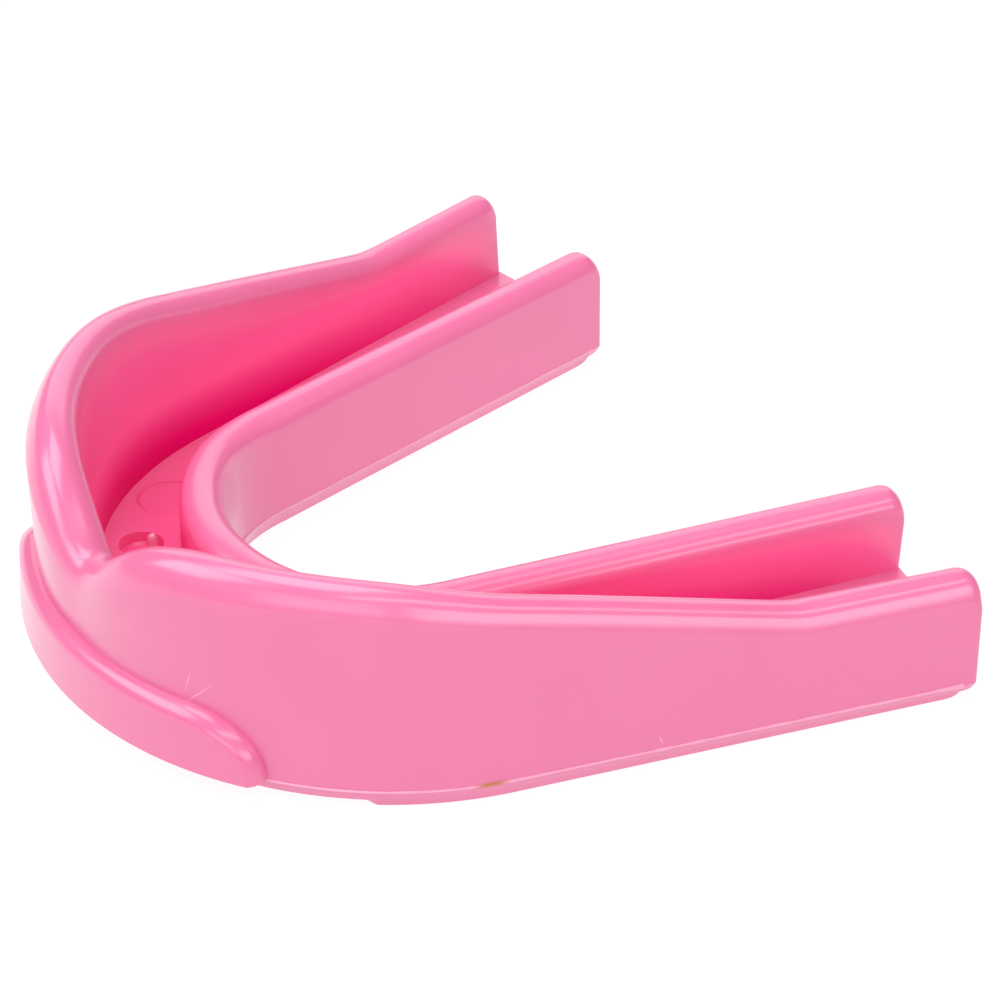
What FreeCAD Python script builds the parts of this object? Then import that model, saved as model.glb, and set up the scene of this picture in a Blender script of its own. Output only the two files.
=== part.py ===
import FreeCAD, Part
import math
import os

from FreeCAD import Vector

# One-piece boil-and-bite mouthguard. Millimetres, +Z up, lips towards -Y, throat towards +Y.
# The body is described by sections across the dental arch. A section is placed by its station,
# the distance along the outer face from the front centre (positive on the wearer's left, +X),
# and drawn with u, the distance inwards from the outer face, and z, the height.

# Arch in plan, along the outer face at the parting line
FRONT_RADIUS = 24.2
ARM_HEADING = math.radians(75.94)
ARM_LENGTH = 30.9
BAND_WIDTH_FRONT = 12.83
BAND_WIDENS_FROM = 22.0
BAND_WIDENING = 0.047

# Heights
BASE_Z = 0.49
PARTING_FRONT_Z = 1.4
PARTING_HEEL_Z = 1.1
FLOOR_Z = 2.6
FLOOR_FRONT_RISE = 1.1
FLOOR_RISE_LENGTH = 26.0
CREST_Z = 16.05
CREST_END = 24.4
CREST_ROUND = 4.3
KNEE_STATION = 50.7
KNEE_Z = 8.8
HEEL_Z = 8.73
NOTCH_DEPTH = 5.3
NOTCH_WIDTH = 5.0
NOTCH_POWER = 1.5
NOTCH_BOTTOM = 1.2
INNER_FRONT_Z = 8.9
INNER_HEEL_Z = 8.3

# Outer wall
FLARE_FRONT = -0.58
LEAN_ARM = 0.63
FLARE_LENGTH = 14.0
RIM_THICKNESS_FRONT = 3.9
RIM_THICKNESS_ARM = 2.8
RIM_OUTER_RADIUS_FRONT = 2.5
RIM_OUTER_RADIUS_ARM = 1.5
RIM_INNER_RADIUS_FRONT = 1.9
RIM_INNER_RADIUS_ARM = 1.25
RIM_FLAT = 0.05
RIM_BLEND_LENGTH = 24.0
NOTCH_SET_BACK = 0.5
NOTCH_RIM_RADIUS = 1.4
NOTCH_BLEND_LENGTH = 4.0
OUTER_FOOT_FRONT = 4.4
OUTER_FOOT_ARM = 3.9

# Inner wall
INNER_FOOT = 3.3
INNER_RIM_THICKNESS = 2.9
INNER_RIM_RADIUS = 1.35
INNER_RIM_INSET = 0.35

# Ends and edges
EDGE_INSET = 0.27
HEEL_SKEW_OUTER = 0.38
HEEL_SKEW_INNER = -0.37
HEEL_LEAN = 0.63
HEEL_ROUND = 1.33
HEEL_BASE_ROUND = 1.05
HEEL_BASE_EDGE = 0.3

# Front bumper
BUMPER_PROUD = 1.08
BUMPER_SPREAD = 0.25
BUMPER_TOP_Z = 5.8
BUMPER_BOTTOM_Z = 1.46
BUMPER_EDGE_RADIUS = 0.8
BUMPER_HALF_LENGTH = 16.2
BUMPER_END_LENGTH = 5.5
BUMPER_END_FULLNESS = 0.3

# Bite pads
PAD_FRONT = 22.4
PAD_INSET = 0.4
PAD_TRIM = 0.15

# Parting line flash
FLASH_SIZE = 0.12

# Gate recess and nub, ejector mark: on the channel floor at the wearer's right
GATE_HEADING = math.radians(-35.0)
GATE_U = 6.7
GATE_RADIUS = 1.5
GATE_DEPTH = 1.1
NUB_RADIUS = 0.42
NUB_TIP_RADIUS = 0.28
NUB_HEIGHT = 2.15
NUB_SHIFT_X = 0.85
NUB_SHIFT_Y = 0.42
EJECTOR_HEADING = math.radians(-55.2)
EJECTOR_U = 6.8
EJECTOR_RADIUS = 2.1
EJECTOR_DEPTH = 0.12
CUTTER_TOP_Z = 5.0

# Spacing and number of sections
ARC_STEP = 2.2
END_STEPS = 4

ARC_LENGTH = FRONT_RADIUS * ARM_HEADING
ARCH_LENGTH = ARC_LENGTH + ARM_LENGTH
BASE_END = ARCH_LENGTH - HEEL_BASE_ROUND

# Rearmost point: on the tongue side of the heel ends, where the rounding of the rim starts
BACK_U = BAND_WIDTH_FRONT + BAND_WIDENING * (ARCH_LENGTH - BAND_WIDENS_FROM) - INNER_RIM_INSET
BACK_Z = INNER_HEEL_Z - HEEL_ROUND - INNER_RIM_RADIUS
BACK_RUN = (
    ARM_LENGTH
    + HEEL_SKEW_OUTER
    + (HEEL_SKEW_INNER - HEEL_SKEW_OUTER) * BACK_U / BAND_WIDTH_FRONT
    + HEEL_LEAN * BACK_Z / HEEL_Z
)
BACK_Y = FRONT_RADIUS - (FRONT_RADIUS - BACK_U) * math.cos(ARM_HEADING) + BACK_RUN * math.sin(ARM_HEADING)
ORIGIN_Y = (BACK_Y - BUMPER_PROUD - BUMPER_SPREAD) / 2


def mix(a, b, t):
    """Straight blend from a to b."""
    return a + (b - a) * t


def ease(t):
    """Smooth step from 0 to 1."""
    t = min(max(t, 0.0), 1.0)
    return t * t * (3 - 2 * t)


def soft_ramp(x, round_length):
    """x above zero and 0 below, with the corner rounded."""
    return (x + math.sqrt(x * x + round_length * round_length)) / 2


def place(station, u, z):
    """Point of the section at a station. Along the arms it turns slowly to the slant of the heel ends."""
    s = abs(station)
    side = -1 if station < 0 else 1
    heading = min(s / FRONT_RADIUS, ARM_HEADING)
    slant = mix(HEEL_SKEW_OUTER, HEEL_SKEW_INNER, u / BAND_WIDTH_FRONT) + HEEL_LEAN * z / HEEL_Z
    run = max(s - ARC_LENGTH, 0.0) * (1 + slant / ARM_LENGTH)
    x = (FRONT_RADIUS - u) * math.sin(heading) + run * math.cos(heading)
    y = FRONT_RADIUS - (FRONT_RADIUS - u) * math.cos(heading) + run * math.sin(heading)
    return Vector(side * x, y - ORIGIN_Y, z)


def at_heading(heading, u, z):
    """Point on the front arc, by its heading."""
    return place(heading * FRONT_RADIUS, u, z)


def band_width(s):
    return BAND_WIDTH_FRONT + BAND_WIDENING * max(s - BAND_WIDENS_FROM, 0.0)


def parting_z(s):
    return mix(PARTING_FRONT_Z, PARTING_HEEL_Z, s / ARCH_LENGTH)


def floor_z(s):
    return FLOOR_Z + FLOOR_FRONT_RISE * (1 - ease(s / FLOOR_RISE_LENGTH))


def end_drop(s, end, length, height):
    """How far a rounded end has dropped at station s: a quarter ellipse ending at the end."""
    t = min(max((s - end + length) / length, 0.0), 1.0)
    return height * (1 - math.sqrt(1 - t * t))


def outer_crest_z(s):
    """Rim height without the notch: level at the canines, straight fall to the knee, level to the heel."""
    fall = (CREST_Z - KNEE_Z) / (KNEE_STATION - CREST_END)
    rise = (HEEL_Z - KNEE_Z) / (ARCH_LENGTH - KNEE_STATION)
    after_knee = max(s - KNEE_STATION, 0.0)
    return CREST_Z - fall * soft_ramp(s - CREST_END, CREST_ROUND) + (fall + rise) * after_knee


def outer_rim_z(s):
    away = math.hypot(s, NOTCH_BOTTOM) ** NOTCH_POWER - NOTCH_BOTTOM ** NOTCH_POWER
    notch = NOTCH_DEPTH * math.exp(-away / NOTCH_WIDTH ** NOTCH_POWER)
    return outer_crest_z(s) - notch - end_drop(s, ARCH_LENGTH, HEEL_ROUND, HEEL_ROUND)


def inner_rim_z(s):
    level = mix(INNER_FRONT_Z, INNER_HEEL_Z, s / ARCH_LENGTH)
    return level - end_drop(s, ARCH_LENGTH, HEEL_ROUND, HEEL_ROUND)


def base_z(s):
    """Underside of the tray, rounded up at the heels."""
    height = PARTING_HEEL_Z - HEEL_BASE_EDGE - BASE_Z
    return BASE_Z + end_drop(s, ARCH_LENGTH, HEEL_BASE_ROUND, height)


def notch_share(s):
    """1 in the middle of the notch, fading out at both sides of it."""
    return math.exp(-((s / NOTCH_BLEND_LENGTH) ** 2))


def outer_face_u(s, z):
    """Offset of the outer face at a height: flared at the front, leaning in on the arms and in the notch."""
    lean = mix(LEAN_ARM, FLARE_FRONT, math.exp(-((s / FLARE_LENGTH) ** 2)))
    radius = rim_outer_radius(s)
    level = (z - parting_z(s)) / (outer_crest_z(s) - radius - parting_z(s))
    top_level = (outer_rim_z(s) - radius - parting_z(s)) / (outer_crest_z(s) - radius - parting_z(s))
    return lean * level + NOTCH_SET_BACK * notch_share(s) * level / top_level


def base_edge_u(s, z):
    """Offset of the edge band below the parting line."""
    return EDGE_INSET * (parting_z(s) - z) / (parting_z(s) - base_z(s))


def outer_foot(s):
    """Thickness of the outer wall at the channel floor."""
    return mix(OUTER_FOOT_FRONT, OUTER_FOOT_ARM, ease(s / RIM_BLEND_LENGTH))


def rim_outer_radius(s):
    radius = mix(RIM_OUTER_RADIUS_FRONT, RIM_OUTER_RADIUS_ARM, ease(s / RIM_BLEND_LENGTH))
    return mix(radius, NOTCH_RIM_RADIUS, notch_share(s))


def rim_inner_radius(s):
    return mix(RIM_INNER_RADIUS_FRONT, RIM_INNER_RADIUS_ARM, ease(s / RIM_BLEND_LENGTH))


def rim_thickness(s):
    thickness = mix(RIM_THICKNESS_FRONT, RIM_THICKNESS_ARM, ease(s / RIM_BLEND_LENGTH))
    return thickness - NOTCH_SET_BACK * notch_share(s)


def loop(station, start, *moves):
    """Closed section wire. A move is (u, z) for a straight edge or (mid u, mid z, u, z) for an arc."""
    edges = []
    first = place(station, *start)
    last = first
    for move in moves:
        end = place(station, *move[-2:])
        if len(move) == 4:
            edges.append(Part.Arc(last, place(station, *move[:2]), end).toShape())
        else:
            edges.append(Part.LineSegment(last, end).toShape())
        last = end
    edges.append(Part.LineSegment(last, first).toShape())
    return Part.Wire(edges)


def corner(centre_u, centre_z, radius, angle, turn=45.0):
    """Arc move round a corner, from the angle before to the angle after its middle."""
    middle = math.radians(angle)
    end = math.radians(angle - turn)
    return (
        centre_u + radius * math.cos(middle),
        centre_z + radius * math.sin(middle),
        centre_u + radius * math.cos(end),
        centre_z + radius * math.sin(end),
    )


def end_stations(end, length):
    """Stations that follow a quarter-ellipse end, closer together towards the end."""
    angles = [math.pi / 2 * i / END_STEPS for i in range(1, END_STEPS + 1)]
    return [end - length + length * math.sin(angle) for angle in angles]


def curved(section, start, end):
    """Smooth loft round the front arc, through evenly spaced sections."""
    steps = math.ceil(abs(end - start) / ARC_STEP)
    return Part.makeLoft([section(mix(start, end, i / steps)) for i in range(steps + 1)], True)


def straight(section, stations):
    """Loft along a straight arm, where every size changes evenly between the stations."""
    return Part.makeLoft([section(s) for s in stations], True, True)


def arch_band(section, arm):
    """The whole arch: the front arc and both arms."""
    front = curved(section, -ARC_LENGTH, ARC_LENGTH)
    arms = [straight(section, [side * s for s in arm]) for side in (-1, 1)]
    return front.fuse(arms).removeSplitter()


def side_band(section, side, start, arm):
    """One side of the arch, from a station on the front arc to the end of the arm."""
    front = curved(section, side * start, side * ARC_LENGTH)
    return front.fuse(straight(section, [side * s for s in arm])).removeSplitter()


def outer_wall_section(station):
    s = abs(station)
    top = outer_rim_z(s)
    inner_radius = rim_inner_radius(s)
    radius = min(rim_outer_radius(s), rim_thickness(s) - inner_radius - RIM_FLAT)
    outer = outer_face_u(s, top - radius)
    inner = outer + rim_thickness(s)
    foot = outer_foot(s)
    return loop(
        station,
        (0, parting_z(s)),
        (outer, top - radius),
        corner(outer + radius, top - radius, radius, 135),
        (inner - inner_radius, top),
        corner(inner - inner_radius, top - inner_radius, inner_radius, 45),
        (foot, floor_z(s)),
        (foot, parting_z(s)),
    )


def inner_wall_section(station):
    s = abs(station)
    top = inner_rim_z(s)
    tongue = band_width(s)
    radius = INNER_RIM_RADIUS
    far = tongue - INNER_RIM_INSET
    near = far - INNER_RIM_THICKNESS
    foot = tongue - INNER_FOOT
    return loop(
        station,
        (foot, parting_z(s)),
        (foot, floor_z(s)),
        (near, top - radius),
        corner(near + radius, top - radius, radius, 135),
        (far - radius, top),
        corner(far - radius, top - radius, radius, 45),
        (tongue, parting_z(s)),
    )


def tray_section(station):
    s = abs(station)
    tongue = band_width(s)
    outer_step = outer_foot(s)
    inner_step = tongue - INNER_FOOT
    return loop(
        station,
        (EDGE_INSET, base_z(s)),
        (0, parting_z(s)),
        (outer_step, parting_z(s)),
        (outer_step, floor_z(s)),
        (inner_step, floor_z(s)),
        (inner_step, parting_z(s)),
        (tongue, parting_z(s)),
        (tongue - EDGE_INSET, base_z(s)),
    )


def gate_recess():
    return Part.makeCylinder(
        GATE_RADIUS,
        CUTTER_TOP_Z,
        at_heading(GATE_HEADING, GATE_U, floor_z(abs(GATE_HEADING) * FRONT_RADIUS) - GATE_DEPTH),
    )


def ejector_mark():
    return Part.makeCylinder(
        EJECTOR_RADIUS,
        CUTTER_TOP_Z,
        at_heading(EJECTOR_HEADING, EJECTOR_U, floor_z(abs(EJECTOR_HEADING) * FRONT_RADIUS) - EJECTOR_DEPTH),
    )


def bite_tray():
    arm = [ARC_LENGTH, BASE_END] + end_stations(ARCH_LENGTH, HEEL_BASE_ROUND)
    tray = arch_band(tray_section, arm)
    return tray.cut(gate_recess()).cut(ejector_mark())


def gate_nub():
    """Stub left where the plastic was fed in, standing in the gate recess."""
    foot = at_heading(GATE_HEADING, GATE_U, floor_z(abs(GATE_HEADING) * FRONT_RADIUS) - GATE_DEPTH)
    foot.x += NUB_SHIFT_X
    foot.y += NUB_SHIFT_Y
    nub = Part.makeCone(NUB_RADIUS, NUB_TIP_RADIUS, NUB_HEIGHT, foot)
    tip = [edge for edge in nub.Edges if edge.BoundBox.ZMin > foot.z + NUB_HEIGHT / 2 and edge.Closed]
    return nub.makeFillet(NUB_TIP_RADIUS / 2, tip)


def bumper_section(station):
    """Section of the bumper, a little thicker at its lower edge and rounded at the upper one."""
    s = abs(station)
    t = min(max((s - BUMPER_HALF_LENGTH + BUMPER_END_LENGTH) / BUMPER_END_LENGTH, 0.0), 1.0)
    fullness = mix(BUMPER_END_FULLNESS, 1.0, math.sqrt(1 - t * t))
    radius = BUMPER_EDGE_RADIUS * fullness
    top_u = -BUMPER_PROUD * fullness ** 0.5
    bottom_u = -(BUMPER_PROUD + BUMPER_SPREAD) * fullness ** 0.5
    top = BUMPER_BOTTOM_Z + (BUMPER_TOP_Z - BUMPER_BOTTOM_Z) * fullness
    return loop(
        station,
        (outer_face_u(s, BUMPER_BOTTOM_Z), BUMPER_BOTTOM_Z),
        (bottom_u, BUMPER_BOTTOM_Z),
        (top_u, top - radius),
        corner(top_u + radius, top - radius, radius, 135),
        (outer_face_u(s, top), top),
    )


def bumper_stations():
    straight = BUMPER_HALF_LENGTH - BUMPER_END_LENGTH
    level = [straight * i / END_STEPS for i in range(END_STEPS + 1)]
    half = level + end_stations(BUMPER_HALF_LENGTH, BUMPER_END_LENGTH)
    return [-s for s in reversed(half[1:])] + half


def front_bumper():
    return Part.makeLoft([bumper_section(s) for s in bumper_stations()], True)


def pad_section(station):
    s = abs(station)
    tongue = band_width(s)
    bottom = end_drop(s, BASE_END, HEEL_BASE_ROUND, BASE_Z - FLASH_SIZE + PAD_TRIM) - PAD_TRIM
    return loop(
        station,
        (PAD_INSET, bottom),
        (EDGE_INSET, BASE_Z),
        (tongue - EDGE_INSET, BASE_Z),
        (tongue - PAD_INSET, bottom),
    )


def bite_pad(side):
    """Lofted a little too deep, then cut off flat where the mouthguard rests."""
    arm = [ARC_LENGTH, BASE_END - HEEL_BASE_ROUND] + end_stations(BASE_END, HEEL_BASE_ROUND)
    band = side_band(pad_section, side, PAD_FRONT, arm)
    corner = Vector(-ARCH_LENGTH, -ARCH_LENGTH, 0)
    return band.common(Part.makeBox(2 * ARCH_LENGTH, 2 * ARCH_LENGTH, BASE_Z, corner))


def outer_flash_section(station):
    s = abs(station)
    z = parting_z(s)
    below = base_edge_u(s, z - FLASH_SIZE)
    above = outer_face_u(s, z + FLASH_SIZE)
    return loop(station, (0, z), (below, z - FLASH_SIZE), (-FLASH_SIZE, z, above, z + FLASH_SIZE))


def inner_flash_section(station):
    s = abs(station)
    z = parting_z(s)
    tongue = band_width(s)
    below = tongue - base_edge_u(s, z - FLASH_SIZE)
    rim = inner_rim_z(s) - INNER_RIM_RADIUS
    above = tongue - INNER_RIM_INSET * FLASH_SIZE / (rim - z)
    return loop(station, (tongue, z), (below, z - FLASH_SIZE), (tongue + FLASH_SIZE, z, above, z + FLASH_SIZE))


def outer_parting_line(side):
    return side_band(outer_flash_section, side, BUMPER_HALF_LENGTH, [ARC_LENGTH, BASE_END])


def inner_parting_line():
    return arch_band(inner_flash_section, [ARC_LENGTH, BASE_END])


def main():
    heel = [ARCH_LENGTH - HEEL_ROUND] + end_stations(ARCH_LENGTH, HEEL_ROUND)
    nodes = {
        "outer_wall": arch_band(outer_wall_section, [ARC_LENGTH, KNEE_STATION] + heel),
        "inner_wall": arch_band(inner_wall_section, [ARC_LENGTH] + heel),
        "bite_tray": bite_tray(),
        "front_bumper": front_bumper(),
        "bite_pad_left": bite_pad(1),
        "bite_pad_right": bite_pad(-1),
        "parting_line_left": outer_parting_line(1),
        "parting_line_right": outer_parting_line(-1),
        "parting_line_inner": inner_parting_line(),
        "gate_nub": gate_nub(),
    }
    os.makedirs("parts", exist_ok=True)
    for name, shape in nodes.items():
        shape.exportStep(f"parts/{name}.step")
        box = shape.optimalBoundingBox()
        print(
            f"{name}: {len(shape.Solids)} solid(s), valid {shape.isValid()}, volume {shape.Volume:.2f} mm3,"
            f" X {box.XMin:.2f} {box.XMax:.2f}, Y {box.YMin:.2f} {box.YMax:.2f}, Z {box.ZMin:.2f} {box.ZMax:.2f}"
        )


main()
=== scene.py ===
import math

import bmesh
import bpy
import numpy as np
from mathutils import Matrix, Vector, noise


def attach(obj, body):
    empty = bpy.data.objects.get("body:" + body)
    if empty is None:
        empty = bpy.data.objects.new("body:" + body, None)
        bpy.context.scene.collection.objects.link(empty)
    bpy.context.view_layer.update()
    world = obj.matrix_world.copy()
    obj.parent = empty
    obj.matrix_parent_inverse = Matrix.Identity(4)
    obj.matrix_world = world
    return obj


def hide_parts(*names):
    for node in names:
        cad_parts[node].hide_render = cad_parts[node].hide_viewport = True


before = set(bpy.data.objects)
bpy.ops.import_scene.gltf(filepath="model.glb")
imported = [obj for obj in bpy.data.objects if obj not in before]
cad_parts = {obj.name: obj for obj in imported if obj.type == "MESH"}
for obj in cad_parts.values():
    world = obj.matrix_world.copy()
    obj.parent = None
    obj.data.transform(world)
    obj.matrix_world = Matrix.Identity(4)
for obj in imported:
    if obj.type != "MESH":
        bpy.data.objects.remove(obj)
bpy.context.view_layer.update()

# One-piece boil-and-bite mouthguard. Shape sizes are in millimetres, as in the CAD model, and MM
# turns them into metres. Sections run across the dental arch: a station is the distance along the
# outer face from the front centre (positive on the wearer's left, +X), u is the distance inwards
# from the outer face, and z is the height.

MM = 0.001

# Arch in plan
FRONT_RADIUS = 24.2
ARM_HEADING = math.radians(75.94)
ARM_LENGTH = 30.9
BAND_WIDTH_FRONT = 12.83
BAND_WIDENS_FROM = 22.0
BAND_WIDENING = 0.047

# Heights
BASE_Z = 0.49
PARTING_FRONT_Z = 1.4
PARTING_HEEL_Z = 1.1
FLOOR_Z = 2.6
FLOOR_FRONT_RISE = 1.1
FLOOR_RISE_LENGTH = 26.0
CREST_Z = 16.05
CREST_END = 24.4
CREST_ROUND = 4.3
KNEE_STATION = 50.7
KNEE_Z = 8.8
KNEE_ROUND = 0.8
HEEL_Z = 8.73
NOTCH_DEPTH = 5.3
NOTCH_WIDTH = 5.0
NOTCH_POWER = 1.5
NOTCH_BOTTOM = 1.2
INNER_FRONT_Z = 8.9
INNER_HEEL_Z = 8.3

# Outer wall
FLARE_FRONT = -0.58
LEAN_ARM = 0.63
FLARE_LENGTH = 14.0
RIM_THICKNESS_FRONT = 3.9
RIM_THICKNESS_ARM = 2.8
RIM_OUTER_RADIUS_FRONT = 2.5
RIM_OUTER_RADIUS_ARM = 1.5
RIM_INNER_RADIUS_FRONT = 1.9
RIM_INNER_RADIUS_ARM = 1.25
RIM_BLEND_LENGTH = 24.0
RIM_CREASE = math.radians(20)
RIM_BEVEL_ANGLE = math.radians(27)
RIM_BEVEL_SWELL = math.radians(5)
RIM_BEVEL_SHARE = 0.5
RIM_BEVEL_STEPS = 7
RIM_ROUND_STEPS = 18
NOTCH_SET_BACK = 0.5
NOTCH_RIM_RADIUS = 1.4
NOTCH_BLEND_LENGTH = 4.0
OUTER_FOOT_FRONT = 4.4
OUTER_FOOT_ARM = 3.9

# Inner wall
INNER_FOOT = 3.3
INNER_RIM_THICKNESS = 2.9
INNER_RIM_RADIUS = 1.35
INNER_RIM_INSET = 0.35

# Ends and edges
HEEL_SKEW_OUTER = 0.38
HEEL_SKEW_INNER = -0.37
HEEL_LEAN = 0.63
EDGE_INSET = 0.27
HEEL_ROUND = 1.33
HEEL_SIDE_ROUND = 0.35
HEEL_BASE_ROUND = 1.05
HEEL_BASE_EDGE = 0.3

# Front bumper
BUMPER_PROUD = 1.08
BUMPER_TOP_Z = 5.8
BUMPER_BOTTOM_Z = 1.46
BUMPER_SPREAD = 0.25
BUMPER_EDGE = 0.85
BUMPER_EDGE_FULLNESS = 0.7
BUMPER_HALF_LENGTH = 16.2
BUMPER_END_LENGTH = 5.5

# Bite pads and parting line flash. SEAT_DEPTH is how far flash and bumper are sunk into the walls.
# FLASH_PROUD and FLASH_NOSE are shares of the flash's thickness.
PAD_FRONT = 22.4
PAD_STEP_LENGTH = 0.9
PAD_INSET = 0.4
PAD_END_THICKNESS = 0.12
FLASH_SIZE = 0.12
FLASH_END_LENGTH = 0.8
FLASH_TIP_LENGTH = 0.5
FLASH_MEAN = 0.75
FLASH_UNEVENNESS = 0.5
FLASH_WAVES_PER_MM = 0.9
FLASH_PROUD = 0.8
FLASH_NOSE = 0.4
OUTER_FLASH_SEED = 3.1
INNER_FLASH_SEED = 7.7
SEAT_DEPTH = 0.02

# Painted shade and painted light by openness, the share of sky a point sees: in the channel the pink is
# painted darker and deeper as shade, its gleam and its coat fade as shade on the reflections, and painted
# light stands in for light coming through the walls. Each stop is an openness and an RGB colour.
PAINTED_SHADE_TINTS = [(0.33, (0.97, 0.0005, 0.19)), (0.36, (0.97, 0.001, 0.23)), (0.42, (0.965, 0.066, 0.32)),
                   (0.48, (0.96, 0.115, 0.36)), (0.6, (0.955, 0.125, 0.385)), (0.72, (0.95, 0.22, 0.43)),
                   (1.0, (1, 1, 1))]
PAINTED_SHADE_GLEAM = [(0.36, (1, 0.002, 0.25)), (0.5, (1, 1, 1))]
PAINTED_THROUGH_LIGHT = [(0.33, (0, 0, 0)), (0.42, (0.12, 0, 0.005)), (0.5, (0.17, 0.005, 0.015)),
                (0.64, (0.13, 0.005, 0.015)), (0.78, (0, 0, 0))]

# Less painted shade at the open ends of the channel, and openness added to a whole piece to lift painted
# shade off it
OPEN_END_LENGTH = 4.0
OPEN_END_SHARE = 0.4
RIM_MARGIN = 0.02
FLOOR_LIFT = 0.3
FULL_LIFT = 1.0

# Marks on the channel floor. The cutters reach their full width CUT_RISE above it. The nub's shares are
# of its radius, and its drops are from its top.
GATE_HEADING = math.radians(-35.0)
GATE_U = 6.7
GATE_RADIUS = 1.5
GATE_DEPTH = 1.1
GATE_BOTTOM_EDGE = 0.2
GATE_LIP = 0.15
GATE_LIP_ROUND = 0.3
NUB_RADIUS = 0.42
NUB_HEIGHT = 2.15
NUB_FOOT_SHARE = 1.15
NUB_FOOT_HEIGHT = 0.25
NUB_SHOULDER_SHARE = 0.8
NUB_SHOULDER_DROP = 0.3
NUB_ROUND_SHARE = 0.55
NUB_ROUND_DROP = 0.07
NUB_TOP_SHARE = 0.25
NUB_SHIFT_X = 0.85
NUB_SHIFT_Y = 0.42
EJECTOR_HEADING = math.radians(-55.2)
EJECTOR_U = 6.8
EJECTOR_RADIUS = 2.1
EJECTOR_DEPTH = 0.12
EJECTOR_EDGE = 0.12
CUT_RISE = 0.02

# Surface marks: station, height, half length, half width and slope in degrees. A mark reaches
# MARK_REACH half widths into the surface. Strengths above 1 keep a mark full over more of its width.
SCRATCHES = [(11.6, 6.6, 2.0, 0.045, 44), (10.9, 7.4, 1.0, 0.04, 72), (41.5, 1.9, 0.4, 0.05, -70)]
SCRATCH_STRENGTH = 1.1
SCRATCH_COLOR = (0.95, 0.42, 0.56, 1)
SCUFF = (30.4, 1.25, 1.3, 0.3, 2)
SCUFF_STRENGTH = 1.6
SCUFF_COLOR = (0.55, 0.16, 0.05, 1)
MARK_REACH = 4

# Specks: one at the centre of each Voronoi cell. It is full out to SPECK_CORE and gone at SPECK_EDGE,
# both in cell widths.
SPECK_SCALE = 190
SPECK_CORE = 0.012
SPECK_EDGE = 0.028
SPECK_STRENGTH = 0.45
SPECK_COLOR = (0.45, 0.08, 0.17, 1)

# Plastic. The tints are the two ends of the mottling.
EVA_TINTS = [(0.76, 0.147, 0.326, 1), (0.80, 0.171, 0.357, 1)]
# The paler tints are a painted highlight: the thin flash lines and the gate nub are painted paler for the
# light they catch
PAINTED_LIGHT_EVA_TINTS = [(0.90, 0.30, 0.48, 1), (0.94, 0.38, 0.55, 1)]
EVA_IOR = 1.47
COAT_ROUGHNESS = 0.19
COAT_FROM = 0.5
COAT_WEIGHT = 0.9
MOTTLE_SCALE = 180
MOTTLE_DETAIL = 3
ROUGHNESS_RANGE = (0.29, 0.35)
PEEL_SCALE = 1600
PEEL_DETAIL = 2
PEEL_STRENGTH = 0.06
PEEL_DISTANCE = 0.0001

# Mesh density: spacings of the stations, then counts of points. WELD_DISTANCE is in metres.
ARC_SPACING = 0.4
ARM_SPACING = 0.5
END_RINGS = 14
PAD_STEP_RINGS = 9
STEP_POINTS = 3
EDGE_POINTS = 5
OUTER_FACE_POINTS = 25
OUTER_BACK_POINTS = 14
OUTER_ROUND_POINTS = 14
OUTER_FOOT_POINTS = 8
INNER_FRONT_POINTS = 10
INNER_BACK_POINTS = 12
INNER_ROUND_POINTS = 12
INNER_FOOT_POINTS = 6
FLOOR_POINTS = 12
BASE_POINTS = 16
BUMPER_ROWS = 44
BUMPER_MIDDLE_COLUMNS = 30
BUMPER_END_COLUMNS = 40
RECESS_POINTS = 64
EJECTOR_POINTS = 96
NUB_POINTS = 32
WELD_DISTANCE = 1e-7
NEARLY_ZERO = 1e-12

# Edges sharper than this are shaded as creases, in degrees
SWEEP_CREASE = 40
TURNED_CREASE = 50
CUT_CREASE = 35
BUMPER_CREASE = 60

# Camera: the aim and the distance are in millimetres, with the aim's y from the front of the outer
# face. The lens and the sensor are in millimetres too, and CLIP_START is in metres.
CAMERA_AIM = (2.83, 30.28, 6.2)
CAMERA_AZIMUTH = math.radians(57.77)
CAMERA_ELEVATION = math.radians(34.06)
CAMERA_ROLL = math.radians(-0.61)
CAMERA_DISTANCE = 257.8
CAMERA_LENS = 139.1
SENSOR_WIDTH = 36
CLIP_START = 0.01

# Stage
STAGE_HALF_SIZE = 2.0
STAGE_GREY = 0.12
STAGE_ROUGHNESS = 0.9
STAGE_GLOW = 0.9
WORLD_STRENGTH = 0.24

# Softboxes: azimuth and elevation in degrees, distance, width and height in metres, power in watts
SOFTBOXES = {
    "softbox_top": (-67, 80, 0.6, 0.50, 0.36, 2.1),
    "softbox_front": (-22, 41, 0.6, 0.46, 0.32, 1.7),
    "softbox_low_right": (98, 22, 0.7, 0.60, 0.15, 1.2),
    "softbox_low_front": (42, 22, 0.7, 0.50, 0.15, 0.6),
    "softbox_over": (95, 55, 0.7, 0.90, 0.14, 1.5),
    "softbox_back": (-122, 28, 0.9, 0.90, 0.50, 1.7),
}

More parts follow.
